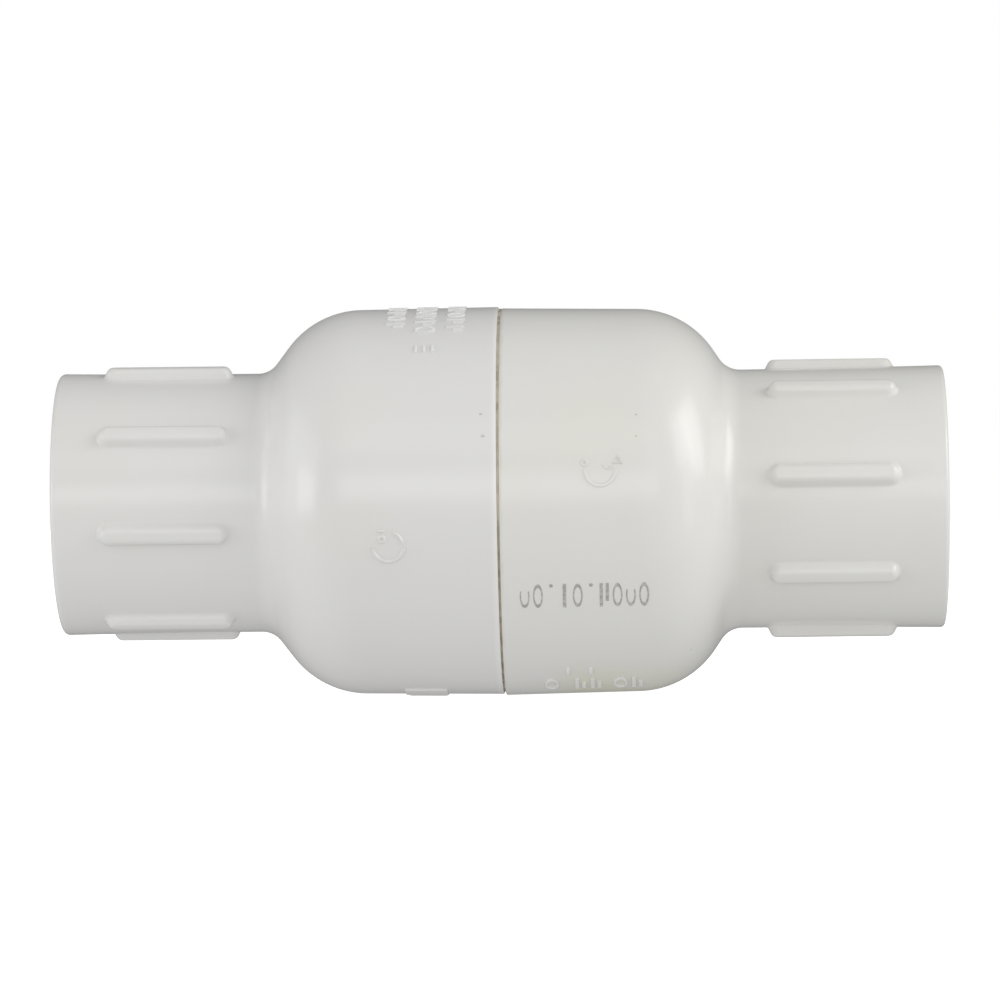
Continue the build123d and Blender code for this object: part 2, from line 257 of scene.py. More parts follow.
@dataclass(frozen=True)
class PvcFinish:
    """White moulded PVC: satin skin, faint flow marks, warm patches and a few specks."""

    name: str
    base: Colour
    warm: Colour
    warm_share: float = 0.5
    roughness: float = 0.22
    stain: bool = False
    # painted highlight: a lighter band along the inlet half's joint lip, standing in for the light
    # that the lip's edge catches
    lip_painted_highlight: bool = False

    def speckle(self, g: Graph, colour: object) -> bpy.types.NodeSocket:
        """Sprinkle a few small brown specks over a colour.

        Args:
            g: the material's graph.
            colour: the colour's socket.

        Returns:
            The speckled colour's socket.
        """
        cell = g.add("TexVoronoi", {"Vector": g.place(), "Scale": 95.0, "Randomness": 1.0})
        dot = g.step(cell.outputs["Distance"], 0.05, 0.028)
        lottery = g.add("SeparateColor", {0: cell.outputs["Color"]}).outputs[0]
        speck = g.math("MULTIPLY", dot, g.step(lottery, 0.9, 0.93))
        return g.blend(g.math("MULTIPLY", speck, 0.3), colour, (0.38, 0.33, 0.25))

    def stains(self, g: Graph, colour: object, cloud: object) -> bpy.types.NodeSocket:
        """Add cement stains at the joint, a yellowed belly and one warm spot.

        Args:
            g: the material's graph.
            colour: the colour's socket.
            cloud: soft patches that blur the yellowed belly's edge.

        Returns:
            The stained colour's socket.
        """
        x, _, z = g.add("SeparateXYZ", {0: g.place()}).outputs
        edge = g.math("MULTIPLY_ADD", g.noise(240.0, 3.0), 0.9 * MM, x)
        near = g.math("MULTIPLY", g.step(edge, 1.9 * MM, 1.0 * MM), 0.3)
        colour = g.blend(near, colour, (0.52, 0.46, 0.34))
        low = g.step(g.math("MULTIPLY_ADD", cloud, 4 * MM, z), -33 * MM, -42 * MM)
        along = g.math("MULTIPLY", g.step(x, 8 * MM, 18 * MM), g.step(x, 46 * MM, 36 * MM))
        belly = g.math("MULTIPLY", g.math("MULTIPLY", low, along), 0.45)
        colour = g.blend(belly, colour, (0.76, 0.75, 0.5))
        centre = (21 * MM, -40 * MM, 14 * MM)
        away = g.add("VectorMath", {0: g.place(), 1: centre}, operation="DISTANCE")
        spot = g.math("MULTIPLY", g.step(away.outputs["Value"], 13 * MM, 7 * MM), 0.5)
        return g.blend(spot, colour, (0.80, 0.785, 0.72))

    def material(self) -> bpy.types.Material:
        """Build the finish.

        Returns:
            The material.
        """
        material, g = new_graph(self.name)
        cloud = g.step(g.noise(22.0, 3.0), 0.42, 0.66)
        flow = g.noise(38.0, 4.0, (0.35, 1.0, 1.0))
        colour = g.blend(g.math("MULTIPLY", cloud, self.warm_share), self.base, self.warm)
        shade = g.math("MULTIPLY_ADD", flow, 0.05, 0.975)
        grey = g.add("CombineColor", {0: shade, 1: shade, 2: shade}).outputs[0]
        shaded = {0: 1.0, 6: colour, 7: grey}
        colour = g.add("Mix", shaded, data_type="RGBA", blend_type="MULTIPLY").outputs[2]
        colour = self.speckle(g, colour)
        if self.stain:
            colour = self.stains(g, colour, cloud)
        # Painted highlight: the lip's last 1.5 mm by the joint is painted lighter, standing in for
        # the light that its edge catches.
        if self.lip_painted_highlight:
            x = g.add("SeparateXYZ", {0: g.place()}).outputs[0]
            lip = g.math("MULTIPLY", g.step(x, -1.5 * MM, -0.1 * MM), 0.8)
            colour = g.blend(lip, colour, (0.89, 0.885, 0.865))
        gloss = g.math("MULTIPLY_ADD", flow, 0.12, self.roughness - 0.06)
        skin = g.bump(g.noise(2600.0, 2.0), 0.004 * MM)
        waves = g.bump(g.noise(130.0, 2.0, (0.4, 1.0, 1.0)), 0.05 * MM, skin)
        sockets = {"Base Color": colour, "Roughness": gloss, "IOR": 1.52, "Normal": waves}
        sockets |= {"Subsurface Weight": 0.12, "Subsurface Radius": (1.0, 0.9, 0.75)}
        close_graph(g, sockets | {"Subsurface Scale": 1.5 * MM})
        return material


@dataclass(frozen=True)
class CementFinish:
    """Dried solvent cement: a tan, glossy, slightly lumpy film."""

    name: str = "dried_cement"

    def material(self) -> bpy.types.Material:
        """Build the finish.

        Returns:
            The material.
        """
        material, g = new_graph(self.name)
        patch = g.step(g.noise(320.0, 4.0), 0.35, 0.7)
        colour = g.blend(patch, (0.44, 0.39, 0.30), (0.62, 0.57, 0.46))
        lumps = g.bump(g.noise(700.0, 3.0), 0.12 * MM)
        gloss = g.math("MULTIPLY_ADD", patch, 0.2, 0.25)
        close_graph(g, {"Base Color": colour, "Roughness": gloss, "IOR": 1.5, "Normal": lumps})
        return material


@dataclass(frozen=True)
class PlasticFinish:
    """Engineering plastic with ejector-side grain and rubbed high spots."""

    name: str
    base: Colour
    worn: Colour
    roughness: float = 0.38

    def material(self) -> bpy.types.Material:
        """Build the finish.

        Returns:
            The material.
        """
        material, g = new_graph(self.name)
        rub = g.math("MULTIPLY", g.step(g.noise(180.0, 5.0), 0.5, 0.75), 0.6)
        colour = g.blend(rub, self.base, self.worn)
        gloss = g.math("MULTIPLY_ADD", g.noise(420.0, 3.0), 0.2, self.roughness - 0.1)
        grain = g.bump(g.noise(3200.0, 2.0), 0.012 * MM)
        close_graph(g, {"Base Color": colour, "Roughness": gloss, "IOR": 1.48, "Normal": grain})
        return material


@dataclass(frozen=True)
class RubberFinish:
    """Moulded EPDM: near black, matte, with a grey bloom and fine grain."""

    name: str = "epdm_rubber"

    def material(self) -> bpy.types.Material:
        """Build the finish.

        Returns:
            The material.
        """
        material, g = new_graph(self.name)
        bloom = g.step(g.noise(260.0, 5.0), 0.45, 0.8)
        colour = g.blend(bloom, (0.018, 0.018, 0.019), (0.06, 0.06, 0.058))
        grain = g.bump(g.noise(2400.0, 3.0), 0.02 * MM)
        gloss = g.math("MULTIPLY_ADD", bloom, 0.15, 0.6)
        close_graph(g, {"Base Color": colour, "Roughness": gloss, "IOR": 1.5, "Normal": grain})
        return material


@dataclass(frozen=True)
class SteelFinish:
    """Stainless steel with drawing or turning marks round the flow axis."""

    name: str
    base: Colour = (0.60, 0.59, 0.57)
    roughness: float = 0.28

    def material(self) -> bpy.types.Material:
        """Build the finish.

        Returns:
            The material.
        """
        material, g = new_graph(self.name)
        marks = g.noise(900.0, 3.0, (3.0, 0.35, 0.35))
        tint = g.step(g.noise(150.0, 4.0), 0.4, 0.75)
        colour = g.blend(g.math("MULTIPLY", tint, 0.4), self.base, (0.50, 0.47, 0.42))
        gloss = g.math("MULTIPLY_ADD", marks, 0.22, self.roughness - 0.08)
        scratch = g.bump(marks, 0.01 * MM)
        sockets = {"Base Color": colour, "Metallic": 1.0, "Roughness": gloss, "Normal": scratch}
        close_graph(g, sockets)
        return material


@dataclass(frozen=True)
class InkFinish:
    """Grey marking ink that dried thin and uneven."""

    name: str = "marking_ink"
    solid: Colour = (0.40, 0.39, 0.36)
    thin: Colour = (0.58, 0.57, 0.54)

    def material(self) -> bpy.types.Material:
        """Build the finish.

        Returns:
            The material.
        """
        material, g = new_graph(self.name)
        dots = g.step(g.noise(1500.0, 2.0), 0.4, 0.62)
        colour = g.blend(g.math("MULTIPLY", dots, 0.8), self.solid, self.thin)
        close_graph(g, {"Base Color": colour, "Roughness": 0.45, "IOR": 1.5})
        return material


# ---------------------------------------------------------------------------------- mesh helpers


def finish_piece(
    bm: bmesh.types.BMesh,
    name: str,
    material: bpy.types.Material,
    body: Body = Body.VALVE,
    sharp_deg: float = 38.0,
) -> bpy.types.Object:
    """Turn a bmesh into a shaded piece that rides on a body.

    Args:
        bm: the mesh, in metres and in place; it is freed.
        name: the piece's name.
        material: its finish.
        body: the body that it rides on.
        sharp_deg: edges that turn more than this stay crisp.

    Returns:
        The piece.
    """
    for face in bm.faces:
        face.smooth = True
    limit = math.radians(sharp_deg)
    for edge in bm.edges:
        edge.smooth = not (edge.is_manifold and edge.calc_face_angle(0.0) > limit)
    mesh = bpy.data.meshes.new(name)
    bm.to_mesh(mesh)
    bm.free()
    piece = bpy.data.objects.new(name, mesh)
    bpy.context.scene.collection.objects.link(piece)
    mesh.materials.append(material)
    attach(piece, body.value)
    LOG.info("%s: %d faces", name, len(mesh.polygons))
    return piece


def arc(centre: Point, radius: float, start_deg: float, end_deg: float, parts: int) -> list[Point]:
    """Points along an arc, its angles taken from the radial direction towards the mouth."""
    turns = [math.radians(start_deg + (end_deg - start_deg) * k / parts) for k in range(parts + 1)]
    return [(centre[0] + radius * math.sin(t), centre[1] + radius * math.cos(t)) for t in turns]


def evenly(low: float, high: float, parts: int) -> list[float]:
    """Numbers from low to high in equal steps, both ends included."""
    return [low + (high - low) * k / parts for k in range(parts + 1)]


def sweep(
    bm: bmesh.types.BMesh,
    section: Sequence[bmesh.types.BMVert],
    axis: Sequence[float],
    angle: float,
    steps: int,
    rise: float = 0.0,
) -> None:
    """Carry a closed section round an axis through the origin, and cap it unless it closes.

    Args:
        bm: the mesh that holds the section and takes the rest.
        section: its vertices, in order.
        axis: the axis.
        angle: how far it goes, in radians.
        steps: how many steps it takes.
        rise: how far it moves along the axis in all, in metres.
    """
    verts = list(section)
    edges = [bm.edges.new(pair) for pair in zip(verts, verts[1:] + verts[:1])]
    closes = not rise and angle >= math.tau - 1e-6
    made = bmesh.ops.spin(
        bm,
        geom=verts + edges,
        cent=(0, 0, 0),
        axis=axis,
        dvec=Vector(axis) * (rise / steps),
        angle=angle,
        steps=steps,
        use_merge=closes,
    )
    if not closes:
        last = [part for part in made["geom_last"] if isinstance(part, bmesh.types.BMEdge)]
        for loop in (edges, last):
            bmesh.ops.contextual_create(bm, geom=loop)


def spin_outline(
    bm: bmesh.types.BMesh, outline: Sequence[Point], steps: int, sign: int = 1
) -> None:
    """Turn a closed outline about the flow axis into a ring.

    Args:
        bm: the mesh that takes it.
        outline: (along, radius) points in millimetres, in order.
        steps: chords to the full turn.
        sign: -1 puts the outline on the inlet side.
    """
    verts = [bm.verts.new((sign * u * MM, 0.0, r * MM)) for u, r in outline]
    sweep(bm, verts, (1, 0, 0), math.tau, steps)
    bmesh.ops.remove_doubles(bm, verts=bm.verts, dist=1e-7)
    bmesh.ops.recalc_face_normals(bm, faces=bm.faces)


def bearing_of(co: Vector) -> float:
    """The bearing of a point round the flow axis, in degrees from -Y towards +Z."""
    return math.degrees(math.atan2(co.z, -co.y))


def at_bearing(x: float, radius: float, bearing: float) -> Vector:
    """A point round the flow axis, all in metres and degrees."""
    turn = math.radians(bearing)
    return Vector((x, -radius * math.cos(turn), radius * math.sin(turn)))


def merge(bm: bmesh.types.BMesh, other: bmesh.types.BMesh) -> None:
    """Move everything from one bmesh into another.

    Args:
        bm: the bmesh that takes it.
        other: the bmesh that is emptied and freed.
    """
    mesh = bpy.data.meshes.new("part")
    other.to_mesh(mesh)
    other.free()
    bm.from_mesh(mesh)
    bpy.data.meshes.remove(mesh)


# ---------------------------------------------------------------------------------- body halves


@dataclass
class BodyHalf:
    """One moulded half: barrel, dome, neck, ribbed socket with its thread, and all its inside."""

    side: Side
    rib_bearings: Sequence[float]
    pvc: bpy.types.Material
    half_length: float = HALF_LENGTH
    dome_start: float = 30.35
    slope_deg: float = 52.7
    neck_r: float = 28.6
    rib_start: float = 58.8
    rim_fillet: float = 1.2
    dome_r: float = 20.45
    neck_fillet: float = 5.5
    mouth_r: float = 28.93
    rib_length: float = 28.0
    rib_half_width: float = 2.2
    rib_crest_r: float = 30.8
    wall: float = 5.2
    bore_r: float = 20.5
    bore_fillet: float = 6.0
    thread_start: float = 73.5
    thread_crest_r: float = 22.2
    thread_root_r: float = 23.4
    thread_pitch: float = 25.4 / 11.5
    lead_in: float = 1.6
    run_out: float = 1.3
    joint_r: float = 40.7
    spigot_r: float = 40.5
    spigot_length: float = 9.0
    shoulder: float = 12.0
    chamber_r: float = 37.6
    seat_wall: float = 40.0
    seat_crest: float = 37.0
    seat_r: float = 23.0
    gap_bottom: float = 0.42
    gap_tilt_deg: float = 0.12
    gap_round: float = 0.4
    columns: int = 40

    @property
    def sign(self) -> int:
        """The half's sign along the flow axis."""
        return self.side.value

    @property
    def skin(self) -> Skin:
        """The outside of the half's barrel."""
        return SKINS[self.side]

    @property
    def pitch(self) -> float:
        """The angle from rib to rib, if they were spaced evenly."""
        return 360 / len(self.rib_bearings)

    def outer_r(self, u: float) -> float:
        """The barrel's or socket's outer radius.

        Args:
            u: the distance from the joint.

        Returns:
            The radius, in millimetres.
        """
        if u <= self.dome_start:
            return self.skin.at(u)
        share = (u - self.half_length / 2) / (self.half_length / 2)
        return self.neck_r + (self.mouth_r - self.neck_r) * max(0.0, share) ** 2

    def dome(
        self, start_r: float, round_r: float, end_r: float, fillet_r: float, parts: int
    ) -> list[Point]:
        """An outline from the barrel's end, round the dome and down its slope, into a neck.

        Args:
            start_r: the radius at the barrel's end.
            round_r: the dome's rounding.
            end_r: the neck's radius.
            fillet_r: the rounding where slope and neck meet.
            parts: chords in the dome's rounding.

        Returns:
            The points, from barrel to neck.
        """
        slope, draft = math.radians(self.slope_deg), math.radians(self.skin.draft_deg)
        along = self.dome_start - self.dome_r * math.sin(draft)
        centre = (along, start_r - round_r * math.cos(draft))
        crown = arc(centre, round_r, self.skin.draft_deg, self.slope_deg, parts)
        last = crown[-1]
        corner = last[0] + (last[1] - end_r) / math.tan(slope)
        middle = (corner + fillet_r * math.tan(slope / 2), end_r + fillet_r)
        hollow = arc(middle, fillet_r, 180 + self.slope_deg, 180, parts // 2)
        return crown + [((last[0] + hollow[0][0]) / 2, (last[1] + hollow[0][1]) / 2)] + hollow

    def rib_rows(self) -> list[float]:
        """Places along the socket that follow the rounding of the ribs' ends closely.

        Returns:
            Distances from the joint, in millimetres.
        """
        near, far = self.rib_start, self.rib_start + self.rib_length
        rows = evenly(near - 1.0, near + 2.6, 17) + evenly(near + 2.6, far - 2.6, 12)[1:-1]
        return rows + evenly(far - 2.6, far + 1.0, 17)

    def outside(self) -> list[Point]:
        """The outline of everything outside beyond the barrel.

        Returns:
            The points, from the dome to the rim.
        """
        crown_r = self.outer_r(self.dome_start)
        crown = self.dome(crown_r, self.dome_r, self.neck_r, self.neck_fillet, 24)
        socket = [self.rib_start - 2.2] + self.rib_rows() + [90.5, 93.5]
        middle = (self.half_length - self.rim_fillet, self.mouth_r - self.rim_fillet)
        rim = arc(middle, self.rim_fillet, 0, 90, 8)
        return crown + [(u, self.outer_r(u)) for u in socket] + rim

    def mouth(self) -> list[Point]:
        """The outline of the end face, the lead-in, the thread's bore and the pipe stop.

        Returns:
            The points, from the end face inwards.
        """
        end, crest, root = self.half_length, self.thread_crest_r, self.thread_root_r
        face = [(end, 26.0), (end, crest + self.lead_in + 0.25)]
        lead = [(end - 0.2, crest + self.lead_in - 0.05), (end - self.lead_in, crest + 0.05)]
        land = [(end - self.lead_in - 0.15, crest), (end - self.lead_in - 0.7, crest)]
        outer_foot = (end - self.lead_in - self.run_out - 0.3, root)
        inner_foot = (self.thread_start + self.run_out + 0.3, root)
        stop = [
            (self.thread_start + 0.7, crest),
            (self.thread_start + 0.1, crest),
            (self.thread_start, crest - 0.1),
            (self.thread_start, self.bore_r + 0.3),
            (self.thread_start - 0.3, self.bore_r),
        ]
        return face + lead + land + [outer_foot, inner_foot] + stop

    def inlet_inside(self) -> list[Point]:
        """The outline of the inlet half's bore, seat, chamber and joint.

        Returns:
            The points, from the bore to the lip.
        """
        crest, wall, lip = self.seat_crest, self.seat_wall, self.seat_r
        seat = [
            (60.0, self.bore_r),
            (crest + 0.8, self.bore_r),
            (crest + 0.3, self.bore_r + 0.25),
            (crest, self.bore_r + 0.8),
            (crest, lip - 0.8),
            (crest + 0.3, lip - 0.25),
            (crest + 0.8, lip),
            (wall - 0.5, lip),
            (wall - 0.1, lip + 0.15),
            (wall, lip + 0.5),
        ]
        round_r = self.dome_r - self.wall
        stop = math.degrees(math.asin((wall - self.dome_start) / round_r))
        centre = (self.dome_start, self.chamber_r - round_r)
        chamber = arc(centre, round_r, stop, 0, 10)
        hollow = [(wall, chamber[0][1] - 1.2)] + chamber[1:]
        joint = [
            (self.shoulder + 0.2, self.chamber_r),
            (self.shoulder, self.chamber_r + 0.2),
            (self.shoulder, self.joint_r),
            (0.35, self.joint_r),
            (0.0, self.joint_r + 0.3),
            (0.0, self.skin.radius - 0.2),
        ]
        return seat + hollow + joint

    def outlet_inside(self) -> list[Point]:
        """The outline of the outlet half's bore, chamber, spigot and shoulder.

        Returns:
            The points, from the bore to the shoulder.
        """
        round_r = self.dome_r - self.wall
        hollow = self.dome(self.chamber_r, round_r, self.bore_r, self.bore_fillet, 16)
        back = -self.spigot_length
        gap = self.gap_bottom + self.skin.radius * math.tan(math.radians(self.gap_tilt_deg))
        middle = (gap + self.gap_round, self.skin.radius - self.gap_round)
        spigot = [
            (back + 0.25, self.chamber_r),
            (back, self.chamber_r + 0.25),
            (back, self.spigot_r - 0.3),
            (back + 0.3, self.spigot_r),
            (-0.5, self.spigot_r),
            (gap - 0.1, self.spigot_r),
            (gap, self.spigot_r + 0.1),
        ]
        return list(reversed(hollow)) + spigot + arc(middle, self.gap_round, -90, 0, 6)

    def outline(self) -> list[Point]:
        """The half's whole section.

        Returns:
            A closed run of points.
        """
        skin = [(u, self.outer_r(u)) for u in evenly(4.0, self.dome_start - 3.0, 8)]
        if self.side is Side.INLET:
            lip = [(0.06, self.skin.radius - 0.06)] + [(u, self.outer_r(u)) for u in (0.2, 1.0)]
            return lip + skin + self.outside() + self.mouth() + self.inlet_inside()
        start = [(2.2, self.outer_r(2.2))]
        return start + skin + self.outside() + self.mouth() + self.outlet_inside()

    def crowd_columns(self, bm: bmesh.types.BMesh) -> None:
        """Move the columns of the mesh together where the ribs' flanks need them.

        The knots pair a share of the way from a rib's middle to the next gap's middle with the
        angle that it is moved to.

        Args:
            bm: the spun half.
        """
        half, free = self.pitch / 2, 0.65
        knots = [(0.0, 0.0), (0.15, 2.2), (free, 6.6), (1.0, half)]
        for vert in bm.verts:
            radius = math.hypot(vert.co.y, vert.co.z)
            turn = bearing_of(vert.co) % 360
            index = int((turn + half) // self.pitch) % len(self.rib_bearings)
            share = (turn + half) % self.pitch / half - 1
            size = abs(share)
            for (s0, a0), (s1, a1) in zip(knots, knots[1:]):
                if size <= s1 + 1e-6:
                    angle = a0 + (a1 - a0) * (size - s0) / (s1 - s0)
                    break
            here = self.rib_bearings[index]
            even = self.rib_bearings[0] + index * self.pitch
            fade = max(0.0, (size - free) / (1 - free))
            middle = even + ((here - even + 180) % 360 - 180) * (1 - fade)
            vert.co = at_bearing(vert.co.x, radius, middle + math.copysign(angle, share))

    def rib_height(self, distance: float) -> float:
        """How high a rib stands.

        Args:
            distance: the distance from its middle line, in millimetres.

        Returns:
            The height, from 0 at the foot to 1 at the crest.
        """
        flat, foot = 0.75, self.rib_half_width + 0.1
        taps = ((-0.44, 1), (-0.22, 2), (0.0, 3), (0.22, 2), (0.44, 1))
        total = 0.0
        for shift, weight in taps:
            share = (abs(distance + shift) - flat) / (foot - flat)
            share = min(1.0, max(0.0, share))
            total += weight * (1 - share**2.2) ** 0.65
        return total / sum(weight for _, weight in taps)

    def raise_ribs(self, bm: bmesh.types.BMesh) -> None:
        """Push the grip ribs out of the socket.

        Args:
            bm: the half, with its columns crowded round the ribs.
        """
        near = self.rib_start + self.rib_half_width
        far = self.rib_start + self.rib_length - self.rib_half_width
        for vert in bm.verts:
            u = self.sign * vert.co.x / MM
            radius = math.hypot(vert.co.y, vert.co.z) / MM
            if radius < self.neck_r - 0.5 or not near - 4 < u < far + 4:
                continue
            turn = bearing_of(vert.co)
            off = min(abs((turn - rib + 180) % 360 - 180) for rib in self.rib_bearings)
            across = math.radians(off) * radius
            beyond = max(0.0, near - u, u - far)
            height = self.rib_height(math.hypot(across, beyond))
            if height > 1e-4:
                crest = radius + (self.rib_crest_r - radius) * height
                vert.co = at_bearing(vert.co.x, crest * MM, turn)

    def tilt_shoulder(self, bm: bmesh.types.BMesh) -> None:
        """Lean the outlet half's shoulder with the inlet's lip, and let the joint gape at the top.

        Args:
            bm: the outlet half.
        """
        lean = math.radians(SKINS[Side.INLET].lean_deg)
        slope = math.tan(math.radians(self.gap_tilt_deg)) - math.tan(lean)
        fade = 10 * MM
        for vert in bm.verts:
            radius = math.hypot(vert.co.y, vert.co.z) / MM
            if radius > self.spigot_r + 0.05 and vert.co.x < fade:
                vert.co.x += vert.co.z * slope * (1 - max(0.0, vert.co.x / fade))

    def settle(self, bm: bmesh.types.BMesh) -> None:
        """Lean and lower the skin; the joint, the bore and the thread stay true.

        Args:
            bm: the half, with its ribs.
        """
        joint_end, true_r, blend_r = 20 * MM, self.thread_root_r + 1, 3.0
        for vert in bm.verts:
            radius = math.hypot(vert.co.y, vert.co.z) / MM
            if radius > self.joint_r + 0.35 or abs(vert.co.x) > joint_end:
                share = min(1.0, max(0.0, (radius - true_r) / blend_r))
                vert.co = self.skin.settle(vert.co, share)

    def cut_thread(self, bm: bmesh.types.BMesh) -> None:
        """Wind the thread's ridge along the bore.

        Args:
            bm: an empty mesh that takes it.
        """
        start = self.thread_start + self.run_out
        length = self.half_length - self.lead_in - self.run_out - start
        turns = length / self.thread_pitch
        root_land, tip, steps_per_turn = 0.16, 0.3, 96
        foot = (self.thread_pitch - root_land) / 2
        flank = [(-foot, 0.12), (-foot, 0.0), (-tip, -1.12), (-tip + 0.1, -1.2)]
        verts = []
        for x, depth in flank + [(-x, depth) for x, depth in reversed(flank)]:
            place = at_bearing(self.sign * (start + x) * MM, (self.thread_root_r + depth) * MM, 90)
            verts.append(bm.verts.new(place))
        angle, rise = self.sign * math.tau * turns, self.sign * length * MM
        sweep(bm, verts, (1, 0, 0), angle, int(turns * steps_per_turn), rise)
        bmesh.ops.recalc_face_normals(bm, faces=bm.faces)

    def build(self) -> bpy.types.Object:
        """Build the half and put it in the place of its plain solid.

        Returns:
            The piece.
        """
        bm = bmesh.new()
        spin_outline(bm, self.outline(), self.columns * len(self.rib_bearings), self.sign)
        self.crowd_columns(bm)
        self.raise_ribs(bm)
        if self.side is Side.OUTLET:
            self.tilt_shoulder(bm)
        self.settle(bm)
        thread = bmesh.new()
        self.cut_thread(thread)
        merge(bm, thread)
        name = "inlet" if self.side is Side.INLET else "outlet"
        piece = finish_piece(bm, f"{name}_half", self.pvc)
        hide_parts(f"{name}_body", f"{name}_socket")
        return piece


# ---------------------------------------------------------------------------------- small pieces


@dataclass
class CementBead:
    """The cement squeezed out between the halves: proud over the top, drawn in below."""

    spigot_r: float = 40.5
    proud_r: float = 42.4
    drawn_r: float = 42.15
    change_deg: float = -13.0
    gap_bottom: float = 0.42
    gap_tilt_deg: float = 0.12

    def crest(self, bearing: float) -> float:
        """The bead's uneven radius.

        Args:
            bearing: where on the joint.

        Returns:
            The radius, in millimetres.
        """
        turn = math.radians(bearing)
        lumps = math.sin(9 * turn + 0.7) + 0.7 * math.sin(23 * turn + 2.1)
        lumps += 0.5 * math.sin(51 * turn)
        back = bearing - self.change_deg if abs(bearing) <= 90 else 180 - bearing
        share = min(1.0, max(0.0, back / 3 + 0.5))
        return self.drawn_r + (self.proud_r - self.drawn_r) * share + 0.05 * lumps

    def build(self) -> bpy.types.Object:
        """Build the bead in the place of the plain cement sleeve.

        Returns:
            The piece.
        """
        slope = math.tan(math.radians(self.gap_tilt_deg))
        lean = math.tan(math.radians(SKINS[Side.INLET].lean_deg))
        face = self.gap_bottom + SKINS[Side.OUTLET].radius * slope
        foot, top = self.spigot_r - 0.05, self.proud_r
        outline = [(-0.3, foot), (-0.3, top - 0.25), (0.02, top - 0.1), (face * 0.3, top - 0.04)]
        outline += [(face * 0.6, top), (face - 0.02, top - 0.02)]
        outline += [(face + 0.3, top - 0.3), (face + 0.3, foot)]
        bm = bmesh.new()
        spin_outline(bm, outline, 360)
        for vert in bm.verts:
            radius = math.hypot(vert.co.y, vert.co.z) / MM
            vert.co.x += vert.co.z * ((slope if vert.co.x > 0.1 * MM else 0) - lean)
            if radius > foot + 0.3:
                bearing = bearing_of(vert.co)
                lift = self.crest(bearing) - self.proud_r
                vert.co = at_bearing(vert.co.x, (radius + lift) * MM, bearing)
        piece = finish_piece(bm, "cement_bead", CementFinish().material())
        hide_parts("joint_cement")
        return piece


